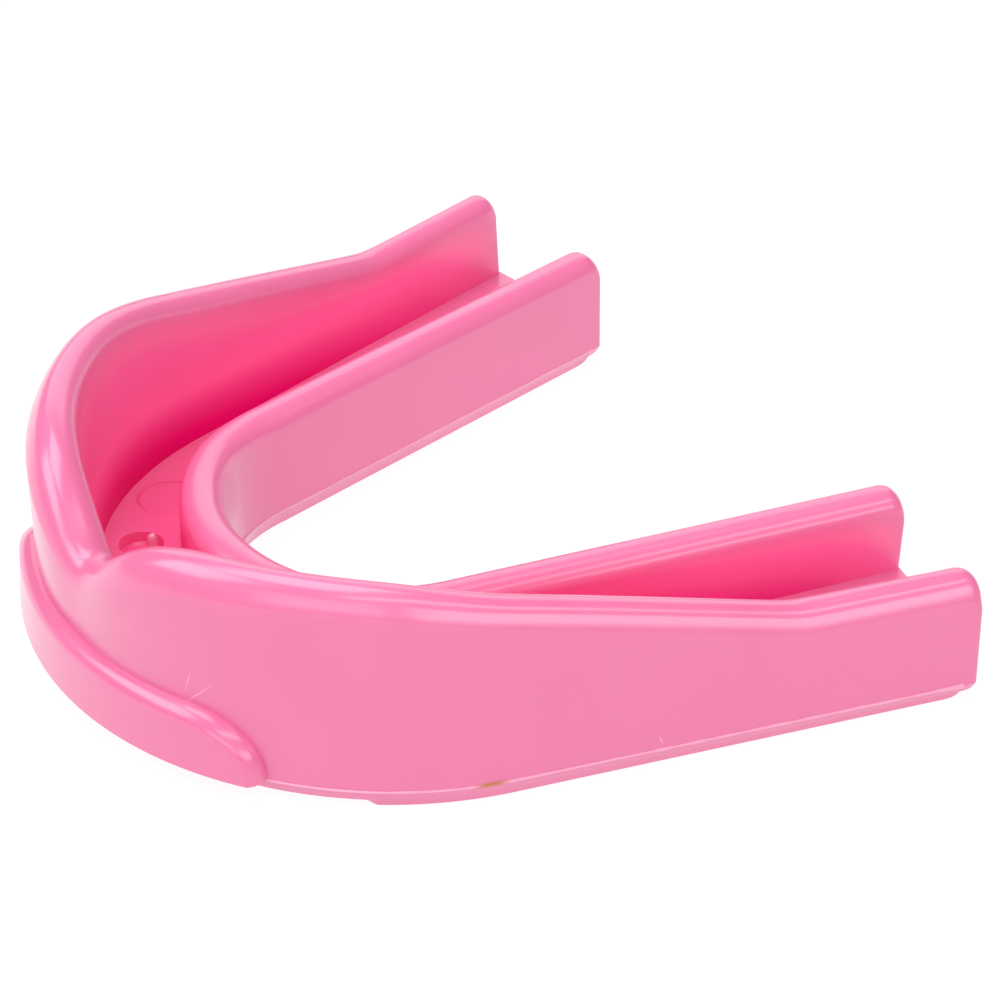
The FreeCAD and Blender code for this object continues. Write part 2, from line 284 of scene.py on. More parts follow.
ARC_LENGTH = FRONT_RADIUS * ARM_HEADING
ARCH_LENGTH = ARC_LENGTH + ARM_LENGTH
BASE_END = ARCH_LENGTH - HEEL_BASE_ROUND
BACK_U = BAND_WIDTH_FRONT + BAND_WIDENING * (ARCH_LENGTH - BAND_WIDENS_FROM) - INNER_RIM_INSET
BACK_Z = INNER_HEEL_Z - HEEL_ROUND - INNER_RIM_RADIUS
BACK_RUN = ARM_LENGTH + HEEL_SKEW_OUTER + HEEL_LEAN * BACK_Z / HEEL_Z
BACK_RUN += (HEEL_SKEW_INNER - HEEL_SKEW_OUTER) * BACK_U / BAND_WIDTH_FRONT
BACK_Y = FRONT_RADIUS - (FRONT_RADIUS - BACK_U) * math.cos(ARM_HEADING) + BACK_RUN * math.sin(ARM_HEADING)
ORIGIN_Y = (BACK_Y - BUMPER_PROUD - BUMPER_SPREAD) / 2


# ---------------------------------------------------------------- the arch as formulas


def mix(a, b, t):
    return a + (b - a) * t


def ease(t):
    t = min(max(t, 0.0), 1.0)
    return t * t * (3 - 2 * t)


def soft_ramp(x, round_length):
    """x above zero and 0 below, with the corner rounded."""
    return (x + math.sqrt(x * x + round_length * round_length)) / 2


def place(station, u, z):
    """Points of the section at a station, in metres. u and z are arrays."""
    s = abs(station)
    side = -1 if station < 0 else 1
    heading = min(s / FRONT_RADIUS, ARM_HEADING)
    u = np.asarray(u, float)
    z = np.asarray(z, float) + 0 * u
    stretch = mix(HEEL_SKEW_OUTER, HEEL_SKEW_INNER, u / BAND_WIDTH_FRONT) + HEEL_LEAN * z / HEEL_Z
    run = max(s - ARC_LENGTH, 0.0) * (1 + stretch / ARM_LENGTH)
    x = (FRONT_RADIUS - u) * math.sin(heading) + run * math.cos(heading)
    y = FRONT_RADIUS - (FRONT_RADIUS - u) * math.cos(heading) + run * math.sin(heading)
    return np.stack([side * x, y - ORIGIN_Y, z], axis=-1) * MM


def band_width(s):
    return BAND_WIDTH_FRONT + BAND_WIDENING * max(s - BAND_WIDENS_FROM, 0.0)


def parting_z(s):
    return mix(PARTING_FRONT_Z, PARTING_HEEL_Z, s / ARCH_LENGTH)


def floor_z(s):
    return FLOOR_Z + FLOOR_FRONT_RISE * (1 - ease(s / FLOOR_RISE_LENGTH))


def end_drop(s, end, length, height):
    """How far a rounded end has dropped at station s: a quarter ellipse."""
    t = min(max((s - end + length) / length, 0.0), 1.0)
    return height * (1 - math.sqrt(1 - t * t))


def crest_z(s):
    """Rim height without the notch: level at the canines, straight fall to the knee, level after it."""
    fall = (CREST_Z - KNEE_Z) / (KNEE_STATION - CREST_END)
    rise = (HEEL_Z - KNEE_Z) / (ARCH_LENGTH - KNEE_STATION)
    knee = soft_ramp(s - KNEE_STATION, KNEE_ROUND)
    return CREST_Z - fall * soft_ramp(s - CREST_END, CREST_ROUND) + (fall + rise) * knee


def outer_rim_z(s):
    away = math.hypot(s, NOTCH_BOTTOM) ** NOTCH_POWER - NOTCH_BOTTOM ** NOTCH_POWER
    notch = NOTCH_DEPTH * math.exp(-away / NOTCH_WIDTH ** NOTCH_POWER)
    return crest_z(s) - notch - end_drop(s, ARCH_LENGTH, HEEL_ROUND, HEEL_ROUND)


def inner_rim_z(s):
    level = mix(INNER_FRONT_Z, INNER_HEEL_Z, s / ARCH_LENGTH)
    return level - end_drop(s, ARCH_LENGTH, HEEL_ROUND, HEEL_ROUND)


def base_z(s):
    height = PARTING_HEEL_Z - HEEL_BASE_EDGE - BASE_Z
    return BASE_Z + end_drop(s, ARCH_LENGTH, HEEL_BASE_ROUND, height)


def side_inset(s):
    """Rounding of the upright edges of the heel ends."""
    return end_drop(s, ARCH_LENGTH, HEEL_SIDE_ROUND, HEEL_SIDE_ROUND)


def notch_share(s):
    """1 in the middle of the notch, fading out at both sides of it."""
    return math.exp(-((s / NOTCH_BLEND_LENGTH) ** 2))


def rim_outer_radius(s):
    radius = mix(RIM_OUTER_RADIUS_FRONT, RIM_OUTER_RADIUS_ARM, ease(s / RIM_BLEND_LENGTH))
    return mix(radius, NOTCH_RIM_RADIUS, notch_share(s))


def rim_inner_radius(s):
    return mix(RIM_INNER_RADIUS_FRONT, RIM_INNER_RADIUS_ARM, ease(s / RIM_BLEND_LENGTH))


def rim_thickness(s):
    thickness = mix(RIM_THICKNESS_FRONT, RIM_THICKNESS_ARM, ease(s / RIM_BLEND_LENGTH))
    return thickness - NOTCH_SET_BACK * notch_share(s)


def outer_foot(s):
    return mix(OUTER_FOOT_FRONT, OUTER_FOOT_ARM, ease(s / RIM_BLEND_LENGTH))


def notch_level(s):
    """Height of the face's upper edge as a share of what it would be without the notch."""
    radius = rim_outer_radius(s)
    return (outer_rim_z(s) - radius - parting_z(s)) / (crest_z(s) - radius - parting_z(s))


def outer_face_u(s, z):
    """Offset of the outer face at a height: flared out at the front, leaning in on the arms."""
    lean = mix(LEAN_ARM, FLARE_FRONT, math.exp(-((s / FLARE_LENGTH) ** 2)))
    face_height = crest_z(s) - rim_outer_radius(s) - parting_z(s)
    level = np.maximum(z - parting_z(s), 0) / face_height
    return lean * level + NOTCH_SET_BACK * notch_share(s) * (level / notch_level(s)) ** 2


def base_edge_u(s, z):
    return EDGE_INSET * (parting_z(s) - z) / (parting_z(s) - base_z(s))


# ---------------------------------------------------------------- meshes


def locate(point):
    """Station (unsigned), offset u and height z of a point: the inverse of place."""
    x, y, z = abs(point[0]) / MM, point[1] / MM + ORIGIN_Y - FRONT_RADIUS, point[2] / MM
    heading = min(math.atan2(x, -y), ARM_HEADING)
    run = x * math.cos(heading) + y * math.sin(heading)
    offset = FRONT_RADIUS - x * math.sin(heading) + y * math.cos(heading)
    return FRONT_RADIUS * heading + run, offset, z


def openness(point, lift):
    """Share of the sky that a point in the channel sees between the rims, plus the lift, up to 1.

    It is 1 outside the channel.
    """
    s, u, z = locate(point)
    outer_rim = outer_face_u(s, outer_rim_z(s)) + rim_thickness(s) - rim_inner_radius(s)
    inner_rim = band_width(s) - INNER_RIM_INSET - INNER_RIM_THICKNESS + INNER_RIM_RADIUS
    if not outer_rim < u < inner_rim or z < parting_z(s):
        return 1.0
    hidden = math.atan2(max(outer_rim_z(s) - z - RIM_MARGIN, 0), u - outer_rim)
    hidden += math.atan2(max(inner_rim_z(s) - z - RIM_MARGIN, 0), inner_rim - u)
    open_end = math.exp((s - ARCH_LENGTH) / OPEN_END_LENGTH)
    return min(1 - hidden / math.pi * (1 - OPEN_END_SHARE * open_end) + lift, 1.0)


def line(start, end, count):
    """Points from start towards end, without the end."""
    t = np.arange(count)[:, None] / count
    return np.array(start) + (np.array(end) - np.array(start)) * t


def arc(centre, radius, first, last, count):
    """Points of an arc from one angle to another in degrees, both ends included."""
    angles = np.radians(np.linspace(first, last, count))
    return np.array(centre) + radius * np.stack([np.cos(angles), np.sin(angles)], axis=-1)


def rolled_edge(start, width, height, bevelled):
    """Rim corner from an upright face to a level top: a quarter round (0) to a bevel and a shoulder (1)."""
    angles = np.linspace(math.pi - RIM_CREASE, math.pi / 2, RIM_ROUND_STEPS + 1)[:-1]
    round_u = start[0] + width * (1 + np.cos(angles) / math.cos(RIM_CREASE))
    round_z = start[1] + height * (np.sin(angles) - math.sin(RIM_CREASE)) / (1 - math.sin(RIM_CREASE))
    bevel = height * RIM_BEVEL_SHARE
    first = RIM_BEVEL_ANGLE + RIM_BEVEL_SWELL
    slopes = np.linspace(RIM_BEVEL_ANGLE - RIM_BEVEL_SWELL, first, RIM_BEVEL_STEPS)
    bevel_z = start[1] + bevel * np.linspace(0, 1, RIM_BEVEL_STEPS + 1)
    bevel_u = start[0] + bevel / RIM_BEVEL_STEPS * np.concatenate([[0], np.cumsum(np.tan(slopes))])
    shoulder_steps = RIM_ROUND_STEPS - RIM_BEVEL_STEPS
    angles = np.linspace(first, math.pi / 2, shoulder_steps + 1)[1:-1]
    rest_u = start[0] + width - bevel_u[-1]
    u = bevel_u[-1] + rest_u * (math.cos(first) - np.cos(angles)) / math.cos(first)
    z = bevel_z[-1] + (height - bevel) * (np.sin(angles) - math.sin(first)) / (1 - math.sin(first))
    u = mix(round_u, np.concatenate([bevel_u, u]), bevelled)
    z = mix(round_z, np.concatenate([bevel_z, z]), bevelled)
    return np.stack([u, z], axis=-1)


def end_rings(end, length):
    """Stations over a rounded end, closer together towards the end."""
    angles = np.linspace(0, math.pi / 2, END_RINGS + 1)[1:]
    return [end - length + length * math.sin(a) for a in angles]


def stations(start, end, end_length):
    """Stations of one side of the arch, from start to a rounded end."""
    arc_part = []
    if start < ARC_LENGTH:
        count = math.ceil((ARC_LENGTH - start) / ARC_SPACING)
        arc_part = list(np.linspace(start, ARC_LENGTH, count + 1)[:-1])
    arm_start = max(start, ARC_LENGTH)
    count = math.ceil((end - end_length - arm_start) / ARM_SPACING)
    arm_part = list(np.linspace(arm_start, end - end_length, count + 1))
    return arc_part + arm_part + end_rings(end, end_length)


def both_sides(half):
    return [-s for s in half[:0:-1]] + half


def new_piece(name, vertices, faces, crease=SWEEP_CREASE):
    """Mesh object, smooth up to the crease angle. Faces of more than four corners are end caps, and flat."""
    mesh = bpy.data.meshes.new(name)
    mesh.from_pydata([tuple(v) for v in vertices], [], faces)
    work = bmesh.new()
    work.from_mesh(mesh)
    bmesh.ops.recalc_face_normals(work, faces=work.faces)
    work.to_mesh(mesh)
    work.free()
    mesh.shade_smooth()
    mesh.set_sharp_from_angle(angle=math.radians(crease))
    for polygon in mesh.polygons:
        polygon.use_smooth = len(polygon.vertices) <= 4
    piece = bpy.data.objects.new(name, mesh)
    bpy.context.scene.collection.objects.link(piece)
    return piece


def sweep(name, outline, at):
    """Closed solid through the section outlines at the stations."""
    rings = [place(s, *outline(abs(s)).T) for s in at]
    count = len(rings[0])
    faces = []
    for i in range(len(rings) - 1):
        for j in range(count):
            k = (j + 1) % count
            faces.append((i * count + j, i * count + k, (i + 1) * count + k, (i + 1) * count + j))
    faces.append(tuple(range(count)))
    faces.append(tuple((len(rings) - 1) * count + j for j in range(count)))
    return new_piece(name, np.concatenate(rings), faces)


def squeezed(rim, low, high, inset):
    """Rim outline between offsets low and high, narrowed from both sides."""
    centre = (low + high) / 2
    rim[:, 0] = centre + (rim[:, 0] - centre) * (1 - 2 * inset / (high - low))
    return rim


def outer_wall_outline(s):
    top = outer_rim_z(s)
    radius = rim_outer_radius(s)
    inner_radius = rim_inner_radius(s)
    inset = side_inset(s)
    face_z = np.linspace(parting_z(s), top - radius, OUTER_FACE_POINTS)[:-1]
    face = np.stack([outer_face_u(s, face_z) + inset, face_z], axis=-1)
    outer = outer_face_u(s, top - radius)
    inner = outer + rim_thickness(s)
    foot = outer_foot(s)
    width = min(radius, inner - outer - inner_radius)
    rim = np.concatenate([
        rolled_edge((outer, top - radius), width, radius, ease(s / RIM_BLEND_LENGTH)),
        arc((inner - inner_radius, top - inner_radius), inner_radius, 90, 0, OUTER_ROUND_POINTS),
    ])
    return np.concatenate([
        face,
        squeezed(rim, outer, inner, inset),
        line((inner - inset, top - inner_radius), (foot - inset, floor_z(s)), OUTER_BACK_POINTS)[1:],
        line((foot - inset, floor_z(s)), (foot - inset, parting_z(s)), STEP_POINTS),
        line((foot - inset, parting_z(s)), (inset, parting_z(s)), OUTER_FOOT_POINTS),
    ])


def inner_wall_outline(s):
    top = inner_rim_z(s)
    radius = INNER_RIM_RADIUS
    inset = side_inset(s)
    tongue = band_width(s)
    far = tongue - INNER_RIM_INSET
    near = far - INNER_RIM_THICKNESS
    foot = tongue - INNER_FOOT
    rim = np.concatenate([
        arc((near + radius, top - radius), radius, 180, 90, INNER_ROUND_POINTS),
        arc((far - radius, top - radius), radius, 90, 0, INNER_ROUND_POINTS),
    ])
    return np.concatenate([
        line((foot + inset, parting_z(s)), (foot + inset, floor_z(s)), STEP_POINTS),
        line((foot + inset, floor_z(s)), (near + inset, top - radius), INNER_FRONT_POINTS),
        squeezed(rim, near, far, inset),
        line((far - inset, top - radius), (tongue - inset, parting_z(s)), INNER_BACK_POINTS)[1:],
        line((tongue - inset, parting_z(s)), (foot + inset, parting_z(s)), INNER_FOOT_POINTS),
    ])


def tray_outline(s):
    inset = side_inset(s)
    tongue = band_width(s)
    outer_step = outer_foot(s) - inset
    inner_step = tongue - INNER_FOOT + inset
    low = base_z(s)
    z = parting_z(s)
    return np.concatenate([
        line((EDGE_INSET + inset, low), (inset, z), EDGE_POINTS),
        line((inset, z), (outer_step, z), OUTER_FOOT_POINTS),
        line((outer_step, z), (outer_step, floor_z(s)), STEP_POINTS),
        line((outer_step, floor_z(s)), (inner_step, floor_z(s)), FLOOR_POINTS),
        line((inner_step, floor_z(s)), (inner_step, z), STEP_POINTS),
        line((inner_step, z), (tongue - inset, z), INNER_FOOT_POINTS),
        line((tongue - inset, z), (tongue - EDGE_INSET - inset, low), EDGE_POINTS),
        line((tongue - EDGE_INSET - inset, low), (EDGE_INSET + inset, low), BASE_POINTS),
    ])


def pad_outline(s):
    """Bite pad under the tray, thinner at both ends, where its underside rises."""
    tongue = band_width(s)
    rise = BASE_Z - PAD_END_THICKNESS
    bottom = end_drop(s, BASE_END, HEEL_BASE_ROUND, rise)
    bottom += rise * (1 - ease((s - PAD_FRONT) / PAD_STEP_LENGTH))
    return np.concatenate([
        line((PAD_INSET, bottom), (EDGE_INSET, BASE_Z), STEP_POINTS),
        line((EDGE_INSET, BASE_Z), (tongue - EDGE_INSET, BASE_Z), FLOOR_POINTS),
        line((tongue - EDGE_INSET, BASE_Z), (tongue - PAD_INSET, bottom), STEP_POINTS),
        line((tongue - PAD_INSET, bottom), (PAD_INSET, bottom), FLOOR_POINTS),
    ])


def flash_size(s, seed):
    """Uneven thickness of the flash, with a bulge at the heel."""
    bulge = math.exp(-(((s - BASE_END) / FLASH_END_LENGTH) ** 2))
    wave = noise.noise(Vector((s * FLASH_WAVES_PER_MM, seed, 0)))
    return FLASH_SIZE * (FLASH_MEAN + FLASH_UNEVENNESS * wave + bulge)


def outer_flash_outline(s):
    z = parting_z(s)
    size = flash_size(s, OUTER_FLASH_SEED)
    return np.array([
        (SEAT_DEPTH, z),
        (base_edge_u(s, z - size), z - size),
        (-size * FLASH_PROUD, z - size * FLASH_NOSE),
        (-size * FLASH_PROUD, z + size * FLASH_NOSE),
        (outer_face_u(s, z + size), z + size),
    ])


def inner_flash_outline(s):
    z = parting_z(s)
    tongue = band_width(s)
    size = flash_size(s, INNER_FLASH_SEED)
    return np.array([
        (tongue - SEAT_DEPTH, z),
        (tongue - base_edge_u(s, z - size), z - size),
        (tongue + size * FLASH_PROUD, z - size * FLASH_NOSE),
        (tongue + size * FLASH_PROUD, z + size * FLASH_NOSE),
        (tongue - SEAT_DEPTH, z + size),
    ])


def lathe(name, profile, centre, count):
    """Closed turned solid. The profile is (radius, height) pairs from the axis back to the axis."""
    rings = profile[1:-1]
    vertices = [Vector((centre[0], centre[1], centre[2] + profile[0][1]))]
    for radius, height in rings:
        for i in range(count):
            a = 2 * math.pi * i / count
            around = Vector((radius * math.cos(a), radius * math.sin(a), height))
            vertices.append(around + Vector(centre))
    vertices.append(Vector((centre[0], centre[1], centre[2] + profile[-1][1])))
    last = len(vertices) - 1
    faces = []
    for i in range(count):
        k = (i + 1) % count
        faces.append((0, 1 + k, 1 + i))
        for r in range(len(rings) - 1):
            a, b = 1 + r * count, 1 + (r + 1) * count
            faces.append((a + i, a + k, b + k, b + i))
        b = 1 + (len(rings) - 1) * count
        faces.append((b + i, b + k, last))
    return new_piece(name, [v * MM for v in vertices], faces, TURNED_CREASE)


def floor_point(heading, offset):
    """Point on the channel floor at a heading, in millimetres."""
    s = abs(heading) * FRONT_RADIUS
    point = place(math.copysign(s, heading), [offset], [floor_z(s)])[0] / MM
    return Vector(point)


def cut(piece, cutter):
    """Take the cutter's volume out of the piece, and remove the cutter."""
    modifier = piece.modifiers.new("cut", "BOOLEAN")
    modifier.object = cutter
    modifier.operation = "DIFFERENCE"
    modifier.solver = "EXACT"
    graph = bpy.context.evaluated_depsgraph_get()
    mesh = bpy.data.meshes.new_from_object(piece.evaluated_get(graph))
    piece.modifiers.clear()
    piece.data = mesh
    mesh.shade_smooth()
    mesh.set_sharp_from_angle(angle=math.radians(CUT_CREASE))
    bpy.data.objects.remove(cutter)


def bite_tray():
    """Channel floor and band below the parting line, with the gate recess and the ejector mark cut in."""
    half = stations(0.0, ARCH_LENGTH, HEEL_BASE_ROUND)
    tray = sweep("tray_visual", tray_outline, both_sides(half))
    recess_top = 2.0
    recess = [
        (0, -GATE_DEPTH),
        (GATE_RADIUS - GATE_BOTTOM_EDGE, -GATE_DEPTH),
        (GATE_RADIUS, -GATE_DEPTH + GATE_BOTTOM_EDGE),
        (GATE_RADIUS, -GATE_LIP),
        (GATE_RADIUS + GATE_LIP * GATE_LIP_ROUND, -GATE_LIP * GATE_LIP_ROUND),
        (GATE_RADIUS + GATE_LIP, CUT_RISE),
        (GATE_RADIUS + GATE_LIP, recess_top),
        (0, recess_top),
    ]
    cut(tray, lathe("recess", recess, floor_point(GATE_HEADING, GATE_U), RECESS_POINTS))
    disc_top = 1.0
    disc = [
        (0, -EJECTOR_DEPTH / 2),
        (EJECTOR_RADIUS - EJECTOR_EDGE, -EJECTOR_DEPTH / 2),
        (EJECTOR_RADIUS, -EJECTOR_DEPTH * 2),
        (EJECTOR_RADIUS + EJECTOR_EDGE, CUT_RISE),
        (EJECTOR_RADIUS + EJECTOR_EDGE, disc_top),
        (0, disc_top),
    ]
    mark_centre = floor_point(EJECTOR_HEADING, EJECTOR_U)
    cut(tray, lathe("ejector_mark", disc, mark_centre, EJECTOR_POINTS))
    return tray


def gate_nub():
    """Tapered stub with a wider foot and a rounded tip, standing on the bottom of the gate recess."""
    r = NUB_RADIUS
    profile = [
        (0, 0),
        (r * NUB_FOOT_SHARE, 0),
        (r, NUB_FOOT_HEIGHT),
        (r * NUB_SHOULDER_SHARE, NUB_HEIGHT - NUB_SHOULDER_DROP),
        (r * NUB_ROUND_SHARE, NUB_HEIGHT - NUB_ROUND_DROP),
        (r * NUB_TOP_SHARE, NUB_HEIGHT),
        (0, NUB_HEIGHT),
    ]
    foot = floor_point(GATE_HEADING, GATE_U) + Vector((NUB_SHIFT_X, NUB_SHIFT_Y, -GATE_DEPTH))
    return lathe("nub_visual", profile, foot, NUB_POINTS)


def bumper_top(s):
    """Height of the bumper's upper outline: level, with quarter-ellipse ends."""
    t = min(max((s - BUMPER_HALF_LENGTH + BUMPER_END_LENGTH) / BUMPER_END_LENGTH, 0.0), 1.0)
    return BUMPER_BOTTOM_Z + (BUMPER_TOP_Z - BUMPER_BOTTOM_Z) * math.sqrt(1 - t * t)


def front_bumper():
    """Pillow-edged strip on the outer face: its thickness rises in a quarter round from the outline."""
    middle_length = BUMPER_HALF_LENGTH - BUMPER_END_LENGTH
    half = list(np.linspace(0, middle_length, BUMPER_MIDDLE_COLUMNS)[:-1])
    angles = np.linspace(0, math.pi / 2, BUMPER_END_COLUMNS)
    half += [BUMPER_HALF_LENGTH - BUMPER_END_LENGTH * (1 - math.sin(a)) for a in angles]
    at = both_sides(half)
    outline = np.array([(s, bumper_top(abs(s))) for s in at])
    starts = outline[:-1]
    run = outline[1:] - starts
    run_squared = np.maximum((run ** 2).sum(-1), NEARLY_ZERO)
    rows = BUMPER_ROWS
    across = 0.5 - 0.5 * np.cos(np.linspace(0, math.pi, rows))
    front, back = [], []
    for s in at:
        z = mix(BUMPER_BOTTOM_Z, bumper_top(abs(s)), across)
        face = np.array([
            outer_face_u(abs(s), h) if h > parting_z(abs(s)) else base_edge_u(abs(s), h) for h in z
        ])
        points = np.stack([np.full(rows, s), z], axis=-1)
        t = np.clip(((points[:, None] - starts) * run).sum(-1) / run_squared, 0, 1)
        gap = np.linalg.norm(points[:, None] - starts - t[..., None] * run, axis=-1).min(-1)
        depth = BUMPER_EDGE_FULLNESS * np.clip(gap / BUMPER_EDGE, 0, 1)
        front_u = -BUMPER_PROUD - BUMPER_SPREAD * (BUMPER_TOP_Z - z) / (BUMPER_TOP_Z - BUMPER_BOTTOM_Z)
        share = np.sqrt((1 - (1 - depth) ** 2) / (1 - (1 - BUMPER_EDGE_FULLNESS) ** 2))
        front.append(place(s, face + (front_u - face) * share, z))
        back.append(place(s, face + SEAT_DEPTH, z))
    columns = len(at)
    vertices = np.concatenate(front + back)
    faces = []
    offset = columns * rows
    for i in range(columns - 1):
        for j in range(rows - 1):
            a = i * rows + j
            faces.append((a, a + 1, a + rows + 1, a + rows))
            faces.append((offset + a, offset + a + rows, offset + a + rows + 1, offset + a + 1))
        for j in (0, rows - 1):
            a = i * rows + j
            faces.append((a, a + rows, offset + a + rows, offset + a))
    for i in (0, columns - 1):
        for j in range(rows - 1):
            a = i * rows + j
            faces.append((a, a + 1, offset + a + 1, offset + a))
    piece = new_piece("bumper_visual", vertices, faces, BUMPER_CREASE)
    work = bmesh.new()
    work.from_mesh(piece.data)
    bmesh.ops.remove_doubles(work, verts=work.verts, dist=WELD_DISTANCE)
    bmesh.ops.recalc_face_normals(work, faces=work.faces)
    work.to_mesh(piece.data)
    work.free()
    return piece


# ---------------------------------------------------------------- material


def openness_ramp(nodes, links, sheltered, stops):
    """Colour that follows the openness attribute through the stops, given as (openness, RGB)."""
    ramp = nodes.new("ShaderNodeValToRGB")
    elements = ramp.color_ramp.elements
    elements[0].position, elements[0].color = stops[0][0], (*stops[0][1], 1)
    elements[1].position, elements[1].color = stops[-1][0], (*stops[-1][1], 1)
    for position, color in stops[1:-1]:
        elements.new(position).color = (*color, 1)
    links.new(sheltered.outputs["Fac"], ramp.inputs["Fac"])
    return ramp.outputs["Color"]


def surface_mark(nodes, links, coordinates, station, z, half_length, half_width, slope):
    """Mask of a thin streak on the outer face: 1 at its centre, fading to 0 at its sides and ends."""
    local = nodes.new("ShaderNodeMapping")
    local.vector_type = "TEXTURE"
    local.inputs["Location"].default_value = place(station, [float(outer_face_u(station, z))], [z])[0]
    heading = min(station / FRONT_RADIUS, ARM_HEADING)
    local.inputs["Rotation"].default_value = (0, -math.radians(slope), heading)
    reach = half_width * MM * MARK_REACH
    local.inputs["Scale"].default_value = (half_length * MM, reach, half_width * MM)
    streak = nodes.new("ShaderNodeTexGradient")
    streak.gradient_type = "SPHERICAL"
    links.new(coordinates, local.inputs["Vector"])
    links.new(local.outputs["Vector"], streak.inputs["Vector"])
    return streak.outputs["Fac"]


def tinted(nodes, links, color, mask, strength, mark_color):
    """The colour with a marking mixed in where the mask is 1."""
    share = nodes.new("ShaderNodeMath")
    share.operation = "MULTIPLY"
    share.use_clamp = True
    share.inputs[1].default_value = strength
    links.new(mask, share.inputs[0])
    blend = nodes.new("ShaderNodeMix")
    blend.data_type = "RGBA"
    blend.inputs["B"].default_value = mark_color
    links.new(share.outputs["Value"], blend.inputs["Factor"])
    links.new(color, blend.inputs["A"])
    return blend.outputs["Result"]


def soft_plastic(name, low_tint, high_tint):
    """Satin pink ethylene-vinyl acetate: faint mottling, specks, fine scratches and a scuffed spot, with
    painted shade and painted light in the channel by openness.
    """
    material = bpy.data.materials.new(name)
    material.use_nodes = True
    nodes = material.node_tree.nodes
    links = material.node_tree.links
    nodes.clear()
    output = nodes.new("ShaderNodeOutputMaterial")
    shader = nodes.new("ShaderNodeBsdfPrincipled")
    links.new(shader.outputs["BSDF"], output.inputs["Surface"])
    shader.inputs["IOR"].default_value = EVA_IOR
    shader.inputs["Coat Roughness"].default_value = COAT_ROUGHNESS
    coordinates = nodes.new("ShaderNodeTexCoord").outputs["Object"]

    mottle = nodes.new("ShaderNodeTexNoise")
    mottle.inputs["Scale"].default_value = MOTTLE_SCALE
    mottle.inputs["Detail"].default_value = MOTTLE_DETAIL
    links.new(coordinates, mottle.inputs["Vector"])
    tint = nodes.new("ShaderNodeValToRGB")
    tint.color_ramp.elements[0].color = low_tint
    tint.color_ramp.elements[1].color = high_tint
    links.new(mottle.outputs["Fac"], tint.inputs["Fac"])
    color = tint.outputs["Color"]

    specks = nodes.new("ShaderNodeTexVoronoi")
    specks.inputs["Scale"].default_value = SPECK_SCALE
    links.new(coordinates, specks.inputs["Vector"])
    speck = nodes.new("ShaderNodeMapRange")
    speck.inputs["From Min"].default_value = SPECK_CORE
    speck.inputs["From Max"].default_value = SPECK_EDGE
    speck.inputs["To Min"].default_value = 1
    speck.inputs["To Max"].default_value = 0
    links.new(specks.outputs["Distance"], speck.inputs["Value"])
    color = tinted(nodes, links, color, speck.outputs["Result"], SPECK_STRENGTH, SPECK_COLOR)
    for scratch in SCRATCHES:
        streak = surface_mark(nodes, links, coordinates, *scratch)
        color = tinted(nodes, links, color, streak, SCRATCH_STRENGTH, SCRATCH_COLOR)
    scuff = surface_mark(nodes, links, coordinates, *SCUFF)
    color = tinted(nodes, links, color, scuff, SCUFF_STRENGTH, SCUFF_COLOR)

    # Painted shade: the colour is darkened towards a deeper pink where a point sees less sky between the
    # rims
    sheltered = nodes.new("ShaderNodeAttribute")
    sheltered.attribute_name = "openness"
    depth = openness_ramp(nodes, links, sheltered, PAINTED_SHADE_TINTS)
    shade_darken = nodes.new("ShaderNodeMix")
    shade_darken.data_type = "RGBA"
    shade_darken.blend_type = "DARKEN"
    shade_darken.inputs["Factor"].default_value = 1
    links.new(color, shade_darken.inputs["A"])
    links.new(depth, shade_darken.inputs["B"])
    links.new(shade_darken.outputs["Result"], shader.inputs["Base Color"])
    # Painted shade on the reflections: the specular tint turns pink and the coat fades where less sky is
    # seen
    gleam = openness_ramp(nodes, links, sheltered, PAINTED_SHADE_GLEAM)
    links.new(gleam, shader.inputs["Specular Tint"])
    # Painted light: an emission that stands in for light coming through the walls of the channel
    painted_glow = openness_ramp(nodes, links, sheltered, PAINTED_THROUGH_LIGHT)
    links.new(painted_glow, shader.inputs["Emission Color"])
    shader.inputs["Emission Strength"].default_value = 1
    coat = nodes.new("ShaderNodeMapRange")
    coat.inputs["From Min"].default_value = COAT_FROM
    coat.inputs["To Max"].default_value = COAT_WEIGHT
    links.new(sheltered.outputs["Fac"], coat.inputs["Value"])
    links.new(coat.outputs["Result"], shader.inputs["Coat Weight"])

    gloss = nodes.new("ShaderNodeMapRange")
    gloss.inputs["To Min"].default_value = ROUGHNESS_RANGE[0]
    gloss.inputs["To Max"].default_value = ROUGHNESS_RANGE[1]
    links.new(mottle.outputs["Fac"], gloss.inputs["Value"])
    links.new(gloss.outputs["Result"], shader.inputs["Roughness"])

    peel = nodes.new("ShaderNodeTexNoise")
    peel.inputs["Scale"].default_value = PEEL_SCALE
    peel.inputs["Detail"].default_value = PEEL_DETAIL
    links.new(coordinates, peel.inputs["Vector"])
    bump = nodes.new("ShaderNodeBump")
    bump.inputs["Strength"].default_value = PEEL_STRENGTH
    bump.inputs["Distance"].default_value = PEEL_DISTANCE
    links.new(peel.outputs["Fac"], bump.inputs["Height"])
    links.new(bump.outputs["Normal"], shader.inputs["Normal"])
    return material


# ---------------------------------------------------------------- the object


def add(piece, material, *cad_nodes, lift=0.0):
    """Give a piece its openness, material and slot, and let it stand for its CAD nodes."""
    shares = [openness(v.co, lift) for v in piece.data.vertices]
    piece.data.attributes.new("openness", "FLOAT", "POINT").data.foreach_set("value", shares)
    piece.data.materials.clear()
    piece.data.materials.append(material)
    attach(piece, "root")
    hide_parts(*cad_nodes)


